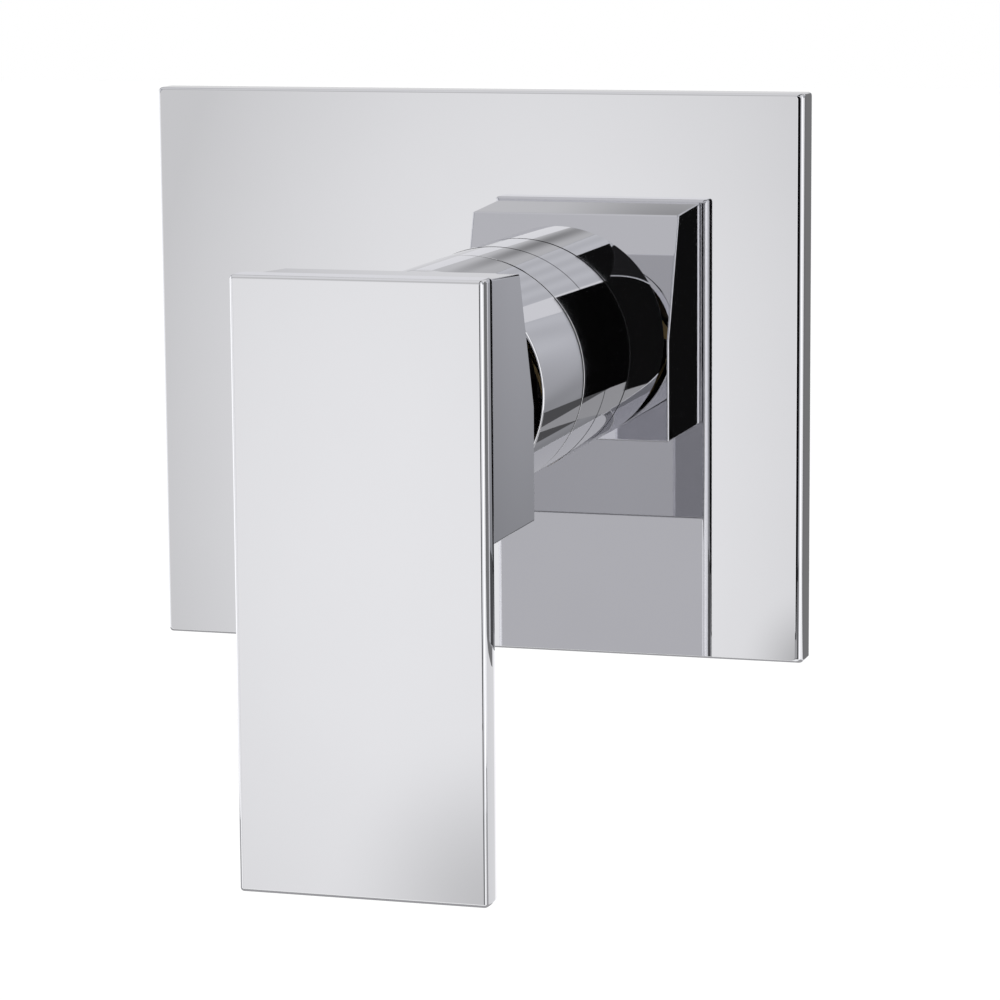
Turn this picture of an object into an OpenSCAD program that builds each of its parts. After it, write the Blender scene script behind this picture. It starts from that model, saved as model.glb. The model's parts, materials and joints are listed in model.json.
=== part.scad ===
// Single-lever shower mixer for a wall, with a ceramic-disc cartridge.
// The wall's finished face is the plane Y = 0, the control's axis is the Y axis,
// +Z is up and the user stands on the -Y side.
// Inside outward() a piece is drawn with x to the right, y up and z out of the wall.

/* [Cover plate] */
// Width of the cover plate
plate_w = 131; // [112:1:170]
// Height of the cover plate
plate_h = 110; // [96:1:150]
// How far the plate's face stands out of the wall
plate_rise = 6; // [5:0.5:9]
// Thickness of the plate's metal
plate_wall = 1.6; // [1:0.1:2]
// Sideways place of the plate's middle, from the control's axis
plate_shift_x = -4; // [-8:0.5:8]
// Height of the plate's middle, from the control's axis
plate_shift_z = -2; // [-6:0.5:6]
// Radius of the plate's four corners
plate_corner_r = 1.6; // [1.3:0.1:6]
// Radius of the plate's front edges
plate_edge_r = 1.1; // [0.3:0.1:1.2]

/* [Sleeve] */
// How far the round sleeve reaches past the cartridge, all round
sleeve_over = 5.2; // [5:0.1:8]
// Thickness of the sleeve's metal
sleeve_wall = 1.5; // [1.2:0.1:1.8]
// Length of the rear sleeve that shows, from the plate's face to the seam
rear_sleeve_show = 17; // [13:0.5:24]
// Length of the front sleeve, from the seam to its mouth
front_sleeve_len = 28; // [25:0.5:34]
// Bevel on the sleeve's edges, at the seam and at the mouth
sleeve_bevel = 0.4; // [0.2:0.05:0.6]

/* [Lever] */
// Width of the flat lever
lever_w = 47; // [38:0.5:56]
// Length of the flat lever
lever_len = 111.5; // [80:0.5:150]
// Thickness of the flat lever
lever_t = 6.3; // [5:0.1:9]
// Height of the lever's top edge above the axis
lever_top = 25.5; // [25.2:0.1:32]
// Bevel along the lever's edges
lever_bevel = 0.9; // [0.2:0.05:0.9]
// Free space between the sleeve's mouth and the block at rest
lever_gap = 5.3; // [4.5:0.1:9]

/* [Lever block] */
// Width of the block behind the lever
block_w = 44.6; // [37:0.2:47]
// Depth of the block, from its rear face to the lever
block_depth = 29; // [26:0.5:36]
// How far the block reaches below the axis
block_below = 22.3; // [18:0.1:30]
// How far the block's top lies below the lever's top, at the lever
block_step = 0.5; // [0.3:0.1:0.8]
// How much further the block's top falls towards the wall
block_top_fall = 1.4; // [0:0.1:2]
// Height at which the cut-back of the rear face starts
relief_start = -1.1; // [-4:0.1:1]
// How far the rear face is cut back at the top
relief_depth = 8.7; // [7:0.1:12]
// Thickness of the block's walls
block_wall = 3; // [2:0.1:4]
// Bevel along the block's edges
block_bevel = 0.4; // [0.2:0.05:0.8]

/* [Cartridge] */
// Outside diameter of the cartridge
cartridge_d = 35; // [34:0.2:36]
// Lift of the lever from shut to full flow, in degrees
lift_angle = 22; // [15:1:24]
// Turn of the lever each way from the middle, in degrees
turn_angle = 45; // [30:1:50]
// Distance from the stem's pivot to the middle of its ball foot
foot_arm = 9; // [8.6:0.1:9.6]
// Thickness of each ceramic disc
disc_h = 4; // [3:0.1:5]
// Side of the stem's square head
stem_side = 8; // [7:0.1:8.4]
// Depth of the cartridge's top below the sleeve's mouth
mouth_recess = 6.6; // [5:0.1:8]

/* [Body in the wall] */
// Depth of the inlets' axis behind the wall's finished face
inlet_depth = 17; // [16:0.5:24]
// How much deeper the outlets' axis lies than the inlets'
outlet_behind = 7; // [6.5:0.5:12]
// Distance from the axis to the end of each inlet
inlet_reach = 43; // [40:0.5:60]
// Distance from the axis to the end of the upper outlet
outlet_reach = 40; // [38:0.5:60]
// Distance from the axis to the end of the plugged lower outlet
lower_reach = 40; // [38:0.5:60]
// Radius of the pipe threads' bores, for a half-inch pipe thread
thread_r = 9.3; // [8.5:0.1:9.6]
// Length of the pipe threads
thread_len = 15; // [11:0.5:18]
// Sideways distance between the fixing holes
fixing_w = 60; // [60:0.5:76]
// Distance up between the fixing holes
fixing_h = 56; // [56:0.5:72]
// Radius of the fixing holes
fixing_r = 2.75; // [2:0.05:3.2]

/* [Hidden] */

$fn = 96;
// Overshoot of a cut past the face that it opens
over = 1;

// Clearances: a seat is a fixed fit, a running gap lets a piece turn or slide in its guide
seat_gap = 0.02;
run_gap = 0.06;
ease_gap = 0.15;
loose_gap = 0.35;

// Radii of the round pieces, from the sleeve inwards
sleeve_r = cartridge_d / 2 + sleeve_over;
sleeve_bore_r = sleeve_r - sleeve_wall;
neck_r = sleeve_bore_r - 0.4;
chamber_r = cartridge_d / 2 + 0.2;
nut_wall_in = 1.4;
nut_seat_r = chamber_r + nut_wall_in;
nut_bore_r = 13.5;
housing_wall = 2;
housing_bore_r = cartridge_d / 2 - housing_wall;
rotor_neck_r = 11;
housing_neck_r = 13.2;
cord_r = 0.84;
cord_groove = 2 * cord_r + 0.1;
// How far the sleeve's two seals lie from the plate's face and from the seam
rear_ring_in = 2.5;
front_ring_in = 4;

// Places along the axis, out of the wall, from the plate to the lever
seam_z = plate_rise + rear_sleeve_show;
mouth_z = seam_z + front_sleeve_len;
block_z = mouth_z + lever_gap;
lever_z = block_z + block_depth;
lever_face_z = lever_z + lever_t;

// Heights of the cartridge's pieces, and their places from the top down to the seat
rotor_head_h = 4.4;
housing_neck_h = 7;
housing_top_h = 2.7;
rotor_flange_h = 2.5;
carrier_h = 5.5;
base_flange_h = 3;
base_spigot_h = 3;
rotor_top_z = mouth_z - mouth_recess;
neck_top_z = rotor_top_z - rotor_head_h;
shoulder_z = neck_top_z - housing_neck_h;
rotor_z = shoulder_z - housing_top_h - loose_gap - rotor_flange_h;
carrier_z = rotor_z - loose_gap - carrier_h;
moving_z = carrier_z - disc_h;
fixed_z = moving_z - run_gap - disc_h;
base_z = fixed_z - base_spigot_h - base_flange_h;
pivot_z = rotor_z + 6.3;
foot_z = pivot_z - foot_arm;
nut_top_z = rotor_top_z - 2.4;
body_mouth_z = shoulder_z + 7.5;

// The disc's rest place and the ports that it covers
disc_r = 12;
disc_rest_y = 1.5;
slot_mid_r = 8.6;
slot_w = 2.8;
slot_span = 50;
inlet_port_r = 3;
inlet_port_at = 6.2;
mixed_port_r = 4;
mixed_port_y = 4.5;
seal_w = 1.6;
seal_deep = 1.6;
peg_r = 1.9;
peg_at = [13, 5];
foot_r = 2.3;
leg_r = 1.8;
pin_r = 1.5;

// Pipes in the body
inlet_z = -inlet_depth;
outlet_z = inlet_z - outlet_behind;
pipe_wall = 4.2;
pipe_r = thread_r + pipe_wall;
hex_len = 9;
barrel_over = 1.2;
barrel_r = neck_r + barrel_over;
gallery_r = 5;
riser_r = 4.5;
// Bracket behind the body, and the two screws that join them
bracket_edge = 6.5;
bracket_t = 4;
bracket_gap = 0.5;
bracket_front = outlet_z - pipe_r - bracket_gap;
bracket_back = bracket_front - bracket_t;
bracket_screw_at = 14;
bracket_screw_r = 2;
bracket_screw_bite = 6;

// The lever's fastenings
hub_r = 9;
hub_out = 3.5;
stem_head_z = block_z + 10.5;
boss_r = 4.8;
boss_at = 14;
screw_head_r = 3.5;
screw_r = 2;
screw_bite = 3.6;
grub_r = 2.1;
grub_len = 8;
grub_z = block_z + 6;
cap_r = 3.5;
cap_t = 2;

// Turns a piece drawn with z out of the wall into the part's frame
module outward() rotate([90, 0, 0]) children();

// A solid of revolution between two heights
module disc(r, z0, z1) translate([0, 0, z0]) cylinder(r = r, h = z1 - z0);

// A ring between two heights
module ring(r_out, r_in, z0, z1) {
    difference() {
        disc(r_out, z0, z1);
        disc(r_in, z0 - over, z1 + over);
    }
}

// A round cord bent into a ring, for a seal
module cord_ring(r_mid, z) {
    translate([0, 0, z]) rotate_extrude() translate([r_mid, 0]) circle(r = cord_r, $fn = 32);
}

// A rectangle about the origin with round corners
module round_rect(w, h, r) {
    square([w - 2 * r, h], center = true);
    square([w, h - 2 * r], center = true);
    for (x = [-1, 1], y = [-1, 1])
        translate([x * (w / 2 - r), y * (h / 2 - r)]) circle(r = r, $fn = 48);
}

// A rectangle from 0 to t in y, whose far corners are round and near ones square
module round_front(w, t, r) {
    translate([-w / 2, 0]) square([w, t - r]);
    translate([-w / 2 + r, 0]) square([w - 2 * r, t]);
    for (x = [-1, 1]) translate([x * (w / 2 - r), t - r]) circle(r = r, $fn = 48);
}

// A plate with round corners and round front edges, its back on z = 0
module rounded_plate(w, h, t, corner_r, edge_r) {
    intersection() {
        linear_extrude(t) round_rect(w, h, corner_r);
        translate([0, h / 2 + over, 0]) rotate([90, 0, 0])
            linear_extrude(h + 2 * over) round_front(w, t, edge_r);
        translate([-w / 2 - over, 0, 0]) rotate([90, 0, 90])
            linear_extrude(w + 2 * over) round_front(h, t, edge_r);
    }
}

// Cuts each corner of an outline back by c along both of its sides
function toward(a, b, c) = a + (b - a) * c / norm(b - a);
function bevelled(p, c) = [
    for (i = [0 : len(p) - 1])
        for (side = [-1, 1])
            toward(p[i], p[(i + side + len(p)) % len(p)], c)
];

// A box outline with bevelled corners, w by t, from 0 to t in y
function bevelled_box(w, t, c) = bevelled([[-w / 2, 0], [-w / 2, t], [w / 2, t], [w / 2, 0]], c);

// Draws an outline given as [up, out] and runs it along x, centred
module along_x(outline, w) {
    translate([-w / 2, 0, 0]) rotate([90, 0, 90]) linear_extrude(w) polygon(outline);
}

// The three water ports, widened by extra, between two heights
module ports(extra, z0, z1) {
    for (x = [-1, 1])
        translate([x * inlet_port_at, -inlet_port_at, 0]) disc(inlet_port_r + extra, z0, z1);
    translate([0, mixed_port_y, 0]) disc(mixed_port_r + extra, z0, z1);
}

// A curved slot through a disc, from one angle to another
module kidney(r_mid, w, from, to, z0, z1) {
    translate([0, 0, z0]) {
        rotate([0, 0, from]) rotate_extrude(angle = to - from)
            translate([r_mid - w / 2, 0]) square([w, z1 - z0]);
        for (a = [from, to])
            rotate([0, 0, a]) translate([r_mid, 0, 0]) cylinder(r = w / 2, h = z1 - z0, $fn = 48);
    }
}

// A pipe boss along +x with a hexagon at its end, from the axis to its mouth
module pipe_boss(reach) {
    rotate([0, 90, 0]) {
        cylinder(r = pipe_r - 1, h = reach);
        translate([0, 0, reach - hex_len])
            rotate([0, 0, 30]) cylinder(r = pipe_r / cos(30), h = hex_len, $fn = 6);
    }
}

// The bore of a pipe boss: the thread's bore, then a gallery up to a distance from the axis
module pipe_bore(reach, inner_r, stop) {
    rotate([0, 90, 0]) {
        translate([0, 0, reach - thread_len]) cylinder(r = thread_r, h = thread_len + over);
        translate([0, 0, stop]) cylinder(r = inner_r, h = reach - stop - thread_len + over);
    }
}

module fixing_places() {
    for (x = [-1, 1], y = [-1, 1]) translate([x * fixing_w / 2, y * fixing_h / 2, 0]) children();
}

// Brass casting in the wall: cartridge chamber, neck, two inlets and two outlets
module mixer_body() {
    color("darkgoldenrod") outward() difference() {
        union() {
            disc(neck_r, -6, body_mouth_z);
            disc(barrel_r, bracket_front, -5);
            translate([0, 0, inlet_z]) for (side = [0, 180])
                rotate([0, 0, side]) pipe_boss(inlet_reach);
            translate([0, 0, outlet_z]) {
                rotate([0, 0, 90]) pipe_boss(outlet_reach);
                rotate([0, 0, -90]) pipe_boss(lower_reach);
            }
        }
        disc(chamber_r, base_z, shoulder_z + over);
        disc(nut_seat_r, shoulder_z, body_mouth_z + over);
        ports(0, inlet_z + gallery_r / 2, base_z + over);
        translate([0, mixed_port_y, 0]) disc(mixed_port_r, outlet_z, base_z);
        for (x = [-1, 1])
            translate([x * peg_at[0], peg_at[1], 0]) disc(peg_r + 0.1, base_z - 3, base_z + over);
        translate([0, 0, inlet_z]) for (side = [0, 180])
            rotate([0, 0, side]) pipe_bore(inlet_reach, gallery_r, 6);
        translate([0, 0, outlet_z]) {
            rotate([0, 0, 90]) pipe_bore(outlet_reach, riser_r, 0);
            rotate([0, 0, -90]) pipe_bore(lower_reach, riser_r, 0);
        }
        for (z = sleeve_ring_places())
            ring(neck_r + over, sleeve_bore_r - cord_groove, z - cord_r - 0.1, z + cord_r + 0.1);
        bracket_screw_places()
            disc(bracket_screw_r + seat_gap, bracket_front - over, bracket_front + bracket_screw_bite + 0.5);
    }
}

module bracket_screw_places() {
    for (x = [-1, 1]) translate([x * bracket_screw_at, 0, 0]) children();
}

// A countersunk screw's form, its flat head on z = 0 and its shank up to a height, widened by extra
module countersunk(r, len, extra) {
    cylinder(r1 = 2 * r + extra, r2 = r + extra, h = r);
    disc(r + extra, 0, len);
}

// Steel plate behind the casting, with the four fixing holes
module fixing_bracket() {
    color("silver") outward() difference() {
        translate([0, 0, bracket_back]) linear_extrude(bracket_t)
            round_rect(fixing_w + 2 * bracket_edge, fixing_h + 2 * bracket_edge, bracket_edge);
        fixing_places() disc(fixing_r, bracket_back - over, bracket_front + over);
        bracket_screw_places() translate([0, 0, bracket_back])
            countersunk(bracket_screw_r, bracket_t + over, 0.1);
    }
}

// Two countersunk screws that hold the bracket on the casting
module bracket_screws() {
    color("dimgray") outward() bracket_screw_places() translate([0, 0, bracket_back]) difference() {
        countersunk(bracket_screw_r, bracket_t + bracket_screw_bite, 0);
        translate([0, 0, -over]) cylinder(r = 1.3, h = 1.5 + over, $fn = 6);
    }
}

function sleeve_ring_places() = [plate_rise + rear_ring_in, seam_z - front_ring_in];

// Blanking plug in the lower outlet, with a hexagon socket
module outlet_plug() {
    flange_t = 3;
    color("silver") outward() translate([0, -lower_reach, outlet_z]) rotate([90, 0, 0]) difference() {
        union() {
            disc(thread_r - seat_gap, -thread_len + 3, 1.5);
            disc(pipe_r - 0.5, 1.5, 1.5 + flange_t);
        }
        translate([0, 0, -4]) cylinder(r = 5.8, h = 10, $fn = 6);
    }
}

// Washer under the blanking plug's flange
module outlet_plug_seal() {
    color("firebrick") outward() translate([0, -lower_reach, outlet_z]) rotate([90, 0, 0])
        ring(pipe_r - 0.8, thread_r + 0.1, 0, 1.5);
}

// Shallow pan with a returned rim, a hole for the sleeve and a collar that holds its seal
module wall_plate() {
    inner_w = plate_w - 2 * plate_wall;
    inner_h = plate_h - 2 * plate_wall;
    inner_r = max(plate_corner_r - plate_wall, 0.2);
    inner_z = plate_rise - plate_wall;
    hole_r = sleeve_r + ease_gap;
    color("gainsboro") outward() difference() {
        union() {
            translate([plate_shift_x, plate_shift_z, 0]) difference() {
                rounded_plate(plate_w, plate_h, plate_rise, plate_corner_r, plate_edge_r);
                translate([0, 0, -over]) linear_extrude(inner_z + over)
                    round_rect(inner_w, inner_h, inner_r);
            }
            disc(collar_r(), 0.6, inner_z + 0.5);
        }
        disc(hole_r, -over, plate_rise + over);
        disc(sleeve_r + cord_groove, plate_ring_z() - cord_r - 0.1, plate_ring_z() + cord_r + 0.1);
    }
}

function collar_r() = sleeve_r + 4;
function plate_ring_z() = 0.6 + 1.9;

// Foam strip inside the plate's rim, against the wall
module plate_gasket() {
    strip_w = 4;
    outer_w = plate_w - 2 * plate_wall - 0.2;
    outer_h = plate_h - 2 * plate_wall - 0.2;
    color("dimgray") outward() translate([plate_shift_x, plate_shift_z, 0])
        linear_extrude(plate_rise - plate_wall) difference() {
            round_rect(outer_w, outer_h, 1);
            round_rect(outer_w - 2 * strip_w, outer_h - 2 * strip_w, 1);
        }
}

// Seal between the plate's collar and the rear sleeve
module plate_o_ring() {
    color("black") outward() cord_ring(sleeve_r + cord_groove / 2, plate_ring_z());
}

// A tube with bevelled outer edges at both ends
module sleeve_tube(r, bore_r, z0, z1) {
    translate([0, 0, z0]) rotate_extrude() polygon([
        [bore_r, 0], [r - sleeve_bevel, 0], [r, sleeve_bevel],
        [r, z1 - z0 - sleeve_bevel], [r - sleeve_bevel, z1 - z0], [bore_r, z1 - z0]
    ]);
}

// Sleeve from inside the plate to the seam, pushed over the body's neck
module rear_sleeve() {
    color("gainsboro") outward() sleeve_tube(sleeve_r, sleeve_bore_r, 1, seam_z);
}

// Two seals between the body's neck and the rear sleeve
module sleeve_o_rings() {
    color("black") outward() for (z = sleeve_ring_places())
        cord_ring(sleeve_bore_r - cord_groove / 2, z);
}

// Bonnet screwed over the body's neck, with a thin bright edge round its open mouth
module front_sleeve() {
    thread_bore_r = neck_r + run_gap;
    mouth_bore_r = sleeve_bore_r + 0.2;
    color("gainsboro") outward() difference() {
        sleeve_tube(sleeve_r, thread_bore_r, seam_z, mouth_z);
        disc(mouth_bore_r, body_mouth_z - 1, mouth_z + over);
    }
}

// Slotted brass nut that holds the cartridge in its chamber
module cartridge_nut() {
    slot_w = 4;
    slot_deep = 2.5;
    color("goldenrod") outward() difference() {
        ring(nut_seat_r - 0.1, nut_bore_r, shoulder_z, nut_top_z);
        for (a = [0 : 60 : 300]) rotate([0, 0, a])
            translate([nut_bore_r + 1, -slot_w / 2, nut_top_z - slot_deep])
                cube([nut_seat_r, slot_w, slot_deep + over]);
    }
}

// A wedge about straight down, half_angle to each side, wide enough for the cartridge
module down_wedge(half_angle, z0, z1) {
    far = cartridge_d / cos(half_angle);
    translate([0, 0, z0]) linear_extrude(z1 - z0) polygon([
        [0, 0], far * [-sin(half_angle), -cos(half_angle)], far * [sin(half_angle), -cos(half_angle)]
    ]);
}

tab_half = 10;
tab_z = neck_top_z + 2.8;

// Hot-limit ring on the housing's neck, open where the rotor's tab swings
module limit_ring() {
    ring_bore_r = rotor_neck_r + 0.35;
    color("crimson") outward() difference() {
        ring(housing_neck_r, ring_bore_r, neck_top_z, rotor_top_z - 0.2);
        down_wedge(turn_angle + tab_half + 1, tab_z - loose_gap, rotor_top_z + over);
    }
}

// Snap hooks that hold the housing on the base, or the windows that they sit in
module snaps(w, h, reach) {
    for (a = [0, 180]) rotate([0, 0, a])
        translate([housing_bore_r - 1, -w / 2, fixed_z - 1.5 - h / 2]) cube([1 + reach, w, h]);
}

// Cartridge shell: a skirt over the discs, a shoulder for the nut and a neck for the rotor
module cartridge_housing() {
    color("whitesmoke") outward() difference() {
        union() {
            disc(cartridge_d / 2, base_z + base_flange_h, shoulder_z);
            disc(housing_neck_r, shoulder_z - over, neck_top_z);
        }
        disc(housing_bore_r, base_z + base_flange_h - over, shoulder_z - housing_top_h);
        disc(rotor_neck_r + run_gap, shoulder_z - 2 * housing_top_h, neck_top_z + over);
        snaps(5, 1.8, housing_wall + over);
    }
}

// Cartridge base with the three ports, grooves for their seals and two locating pegs
module cartridge_base() {
    color("whitesmoke") outward() difference() {
        union() {
            disc(cartridge_d / 2 - 0.1, base_z, base_z + base_flange_h);
            disc(housing_bore_r - 0.1, base_z + base_flange_h - over, fixed_z);
            snaps(4.6, 1.4, housing_wall - 0.6);
            for (x = [-1, 1])
                translate([x * peg_at[0], peg_at[1], 0]) disc(peg_r, base_z - 2.5, base_z + over);
        }
        ports(0, base_z - over, fixed_z + over);
        ports(seal_w, base_z - over, base_z + seal_deep);
    }
}

// Three flat seals under the base, one round each port
module base_seals() {
    color("black") outward() difference() {
        ports(seal_w - 0.05, base_z, base_z + seal_deep);
        ports(0.2, base_z - over, base_z + seal_deep + over);
    }
}

// Lower ceramic disc: two curved inlets and the mixed outlet
module fixed_disc() {
    color("white") outward() difference() {
        disc(housing_bore_r - 0.3, fixed_z, fixed_z + disc_h);
        for (from = [205, 285])
            kidney(slot_mid_r, slot_w, from, from + slot_span, fixed_z - over, fixed_z + disc_h + over);
        translate([0, mixed_port_y - 1, 0])
            disc(mixed_port_r - 0.5, fixed_z - over, fixed_z + disc_h + over);
    }
}

// Notches in the moving disc, or the lugs of the carrier that drive it
module drive_lugs(w, deep, z0, z1) {
    for (x = [-1, 1]) translate([x * disc_r - deep, -w / 2, z0]) cube([2 * deep, w, z1 - z0]);
}

// Upper ceramic disc, with the mixing pocket in its underside and a notch on each side
module moving_disc() {
    pocket_r = 7.5;
    pocket_deep = 2.2;
    color("ivory") outward() translate([0, disc_rest_y, 0]) difference() {
        disc(disc_r, moving_z, moving_z + disc_h);
        translate([0, 0.5, 0]) disc(pocket_r, moving_z - over, moving_z + pocket_deep);
        drive_lugs(4.4, 1.6, moving_z + 1.5, moving_z + disc_h + over);
    }
}

// Driver between the stem's foot and the moving disc
module disc_carrier() {
    carrier_mouth = 1.8;
    color("steelblue") outward() difference() {
        translate([0, disc_rest_y, 0]) {
            disc(disc_r - 0.2, carrier_z, carrier_z + carrier_h);
            intersection() {
                disc(disc_r - 0.2, moving_z, carrier_z + 1);
                drive_lugs(4.2, 1.4, moving_z + 2, carrier_z + 1);
            }
        }
        disc(foot_r + loose_gap, carrier_z - over, carrier_z + carrier_h + over);
        translate([0, 0, carrier_z + carrier_h - carrier_mouth])
            cylinder(r1 = foot_r + loose_gap, r2 = foot_r + 2.2, h = carrier_mouth + 0.01);
    }
}

// How far a point of the stem's axis moves up at full lift, at a distance from the pivot
function swing(d) = d * tan(lift_angle);

// Turning core of the cartridge: a flange, a neck, a slot for the stem and the stop tab
module cartridge_rotor() {
    half = stem_side / 2;
    wide = half / cos(lift_angle) + loose_gap;
    below = pivot_z - rotor_z + 0.2;
    above = rotor_top_z - pivot_z + 0.2;
    color("steelblue") outward() difference() {
        union() {
            disc(housing_bore_r - loose_gap, rotor_z, rotor_z + rotor_flange_h);
            disc(rotor_neck_r, rotor_z, rotor_top_z);
            intersection() {
                ring(housing_neck_r - 0.2, rotor_neck_r - 1, tab_z, rotor_top_z);
                down_wedge(tab_half, tab_z - over, rotor_top_z + over);
            }
        }
        along_x([
            [-wide, pivot_z], [-swing(below) - leg_r - 1.5, pivot_z - below],
            [wide, pivot_z - below], [wide, pivot_z],
            [wide + swing(above), pivot_z + above], [-half - loose_gap, pivot_z + above],
            [-half - loose_gap, pivot_z]
        ], stem_side + 2 * ease_gap);
        translate([-rotor_neck_r - over, 0, pivot_z]) rotate([0, 90, 0])
            cylinder(r = pin_r + seat_gap, h = 2 * (rotor_neck_r + over), $fn = 48);
        ring(rotor_neck_r + over, rotor_neck_r + run_gap - cord_groove,
             rotor_seal_z() - cord_r - 0.1, rotor_seal_z() + cord_r + 0.1);
    }
}

function rotor_seal_z() = neck_top_z - 1.8;

// Ring between the rotor's neck and the housing
module rotor_seal() {
    color("black") outward() cord_ring(rotor_neck_r + run_gap - cord_groove / 2, rotor_seal_z());
}

// Cross pin in the rotor, on which the stem tilts
module pivot_pin() {
    pin_len = 2 * rotor_neck_r - 1;
    color("lightgray") outward() translate([-pin_len / 2, 0, pivot_z]) rotate([0, 90, 0])
        cylinder(r = pin_r, h = pin_len, $fn = 48);
}

// Lever stem: ball foot, flat leg, pivot eye and square head
module stem() {
    half = stem_side / 2;
    color("lightsteelblue") outward() difference() {
        union() {
            translate([0, 0, foot_z]) sphere(r = foot_r, $fn = 48);
            translate([0, 0, foot_z]) cylinder(r1 = leg_r, r2 = leg_r + 1.2, h = foot_arm, $fn = 48);
            translate([-half, 0, pivot_z]) rotate([0, 90, 0])
                cylinder(r = half, h = stem_side, $fn = 64);
            translate([-half, -half, pivot_z])
                cube([stem_side, stem_side, stem_head_z - pivot_z]);
        }
        translate([-half - over, 0, pivot_z]) rotate([0, 90, 0])
            cylinder(r = pin_r + run_gap, h = stem_side + 2 * over, $fn = 48);
    }
}

// Side outline of the block as [up, out], with its upper rear cut back, drawn in by wall
function block_outline(wall) =
    let (
        top_front = lever_top - block_step,
        top_rear = top_front - block_top_fall,
        front = wall > 0 ? lever_z + over : lever_z,
        lean = relief_depth / (top_rear - relief_start)
    ) [
        [-block_below + wall, front],
        [-block_below + wall, block_z + wall],
        [relief_start, block_z + wall],
        [top_rear - wall, block_z + wall + (top_rear - wall - relief_start) * lean],
        [top_front - wall, front]
    ];

// Hollow casting behind the lever, with a socket for the stem and two screw bosses
module lever_block() {
    socket = stem_side + 2 * seat_gap;
    color("gainsboro") outward() difference() {
        union() {
            difference() {
                block_shell();
                along_x(block_outline(block_wall), block_w - 2 * block_wall);
            }
            disc(hub_r, block_z - hub_out, stem_head_z + 3);
            intersection() {
                block_shell();
                union() {
                    for (x = [-1, 1]) translate([x * boss_at, 0, 0]) disc(boss_r, block_z, lever_z);
                    translate([-boss_r, -block_below, block_z])
                        cube([2 * boss_r, block_below, grub_z - block_z + boss_r]);
                }
            }
        }
        translate([-socket / 2, -socket / 2, block_z - hub_out - over])
            cube([socket, socket, stem_head_z + 0.2 - block_z + hub_out + over]);
        for (x = [-1, 1]) translate([x * boss_at, 0, 0]) {
            disc(screw_head_r + 0.15, block_z - over, lever_z - 5);
            disc(screw_r + 0.1, lever_z - 6, lever_z + over);
        }
        translate([0, 0, grub_z]) rotate([90, 0, 0]) {
            cylinder(r = grub_r + seat_gap, h = block_below + over, $fn = 48);
            translate([0, 0, block_below - cap_t]) cylinder(r = cap_r, h = cap_t + over, $fn = 48);
        }
    }
}

// The block's outer form, bevelled in side view and in plan
module block_shell() {
    intersection() {
        along_x(bevelled(block_outline(0), block_bevel), block_w);
        translate([0, lever_top + over, block_z]) rotate([90, 0, 0])
            linear_extrude(block_below + lever_top + 2 * over)
                polygon(bevelled_box(block_w, block_depth, block_bevel));
        translate([0, 0, block_z - over]) linear_extrude(block_depth + 2 * over)
            translate([0, -block_below]) polygon(
                bevelled_box(block_w, block_below + lever_top - block_step, block_bevel)
            );
    }
}

// The flat lever, bevelled on every edge, screwed to the block from behind
module lever_plate() {
    bottom = lever_top - lever_len;
    color("gainsboro") outward() difference() {
        intersection() {
            translate([0, lever_top + over, lever_z]) rotate([90, 0, 0])
                linear_extrude(lever_len + 2 * over) polygon(bevelled_box(lever_w, lever_t, lever_bevel));
            translate([0, 0, lever_z - over]) linear_extrude(lever_t + 2 * over)
                translate([0, bottom]) polygon(bevelled_box(lever_w, lever_len, lever_bevel));
            translate([-lever_w / 2 - over, bottom + lever_len / 2, lever_z]) rotate([90, 0, 90])
                linear_extrude(lever_w + 2 * over) polygon(bevelled_box(lever_len, lever_t, lever_bevel));
        }
        for (x = [-1, 1]) translate([x * boss_at, 0, 0])
            disc(screw_r + seat_gap, lever_z - over, lever_z + screw_bite + 0.4);
    }
}

// Two cap screws that hold the lever on the block
module lever_screws() {
    head_h = 4;
    color("silver") outward() for (x = [-1, 1]) translate([x * boss_at, 0, 0]) difference() {
        union() {
            disc(screw_head_r, lever_z - 5 - head_h, lever_z - 5);
            disc(screw_r, lever_z - 5 - over, lever_z + screw_bite);
        }
        translate([0, 0, lever_z - 5 - head_h - over]) cylinder(r = 1.75, h = 3, $fn = 6);
    }
}

// Grub screw that clamps the block on the stem
module set_screw() {
    color("dimgray") outward() translate([0, -stem_side / 2 - seat_gap, grub_z]) rotate([90, 0, 0])
        difference() {
            cylinder(r = grub_r, h = grub_len, $fn = 48);
            translate([0, 0, grub_len - 3]) cylinder(r = 1.45, h = 4, $fn = 6);
        }
}

// Cap over the grub screw's hole, flush with the block's underside
module set_screw_cap() {
    color("gainsboro") outward() translate([0, -block_below, grub_z]) rotate([-90, 0, 0])
        cylinder(r = cap_r - 0.05, h = cap_t, $fn = 48);
}

mixer_body();
fixing_bracket();
bracket_screws();
outlet_plug();
outlet_plug_seal();
wall_plate();
plate_gasket();
plate_o_ring();
rear_sleeve();
sleeve_o_rings();
front_sleeve();
cartridge_nut();
limit_ring();
cartridge_housing();
cartridge_base();
base_seals();
fixed_disc();
moving_disc();
disc_carrier();
cartridge_rotor();
rotor_seal();
pivot_pin();
stem();
lever_block();
lever_plate();
lever_screws();
set_screw();
set_screw_cap();
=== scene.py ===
# %% [markdown]
# # A single-lever shower mixer
# The mixer sits on a wall. A rectangular cover plate hides the valve body, a round sleeve
# comes out of it, and a long flat lever on a square block works the cartridge inside.
# The frame that this lesson dresses is already full size: X runs along the wall, Y into
# it and Z up, all in metres, with the sleeve's axis on the Y axis.
# First the frame is loaded and kept.

# %% Load the frame
import json
import math
import bmesh
import bpy
from mathutils import Matrix, Vector


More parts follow.
